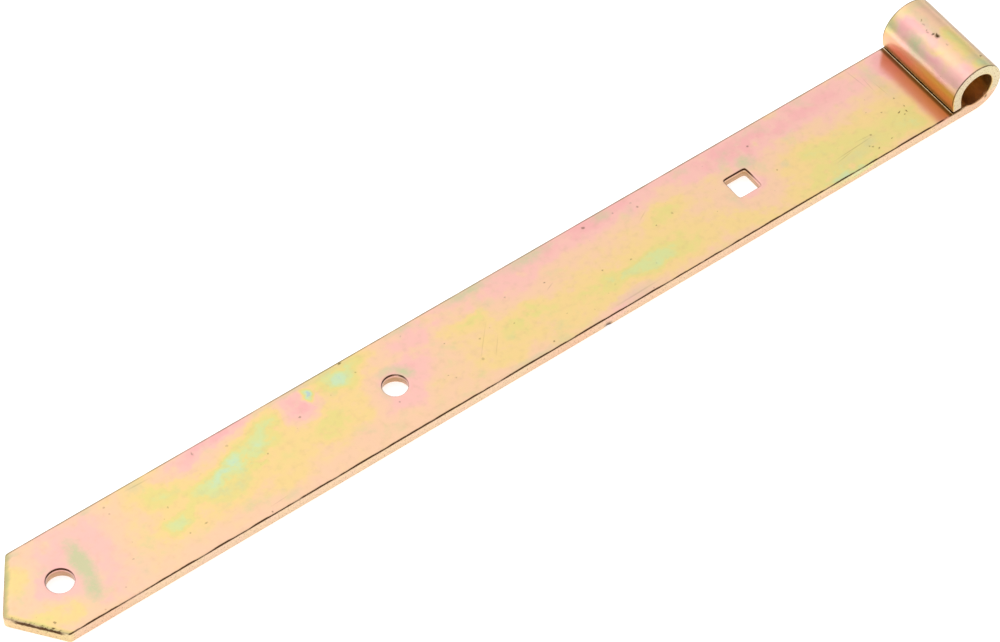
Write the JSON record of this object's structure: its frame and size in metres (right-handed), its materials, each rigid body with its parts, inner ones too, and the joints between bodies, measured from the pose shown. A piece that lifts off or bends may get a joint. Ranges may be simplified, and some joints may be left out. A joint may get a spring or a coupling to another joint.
{
  "type": "t hinge",
  "caption": "Flat pointed steel gate-hinge strap with an eye rolled from the same bar for a pin, and round and square bolt holes along it.",
  "frame": {"origin": "middle of the eye's bore axis", "axes": "+Y along the pin, -X along the strap to its point, +Z from the strap's back face to the side that the eye is rolled on"},
  "size_m": [0.411, 0.04, 0.022],
  "materials": {
    "yellow_zinc_steel": "zinc plated and yellow chromated, semi-gloss, with pink, green and gold patches"
  },
  "bodies": {
    "root": {"hinge_strap": "yellow_zinc_steel"}
  },
  "joints": []
}
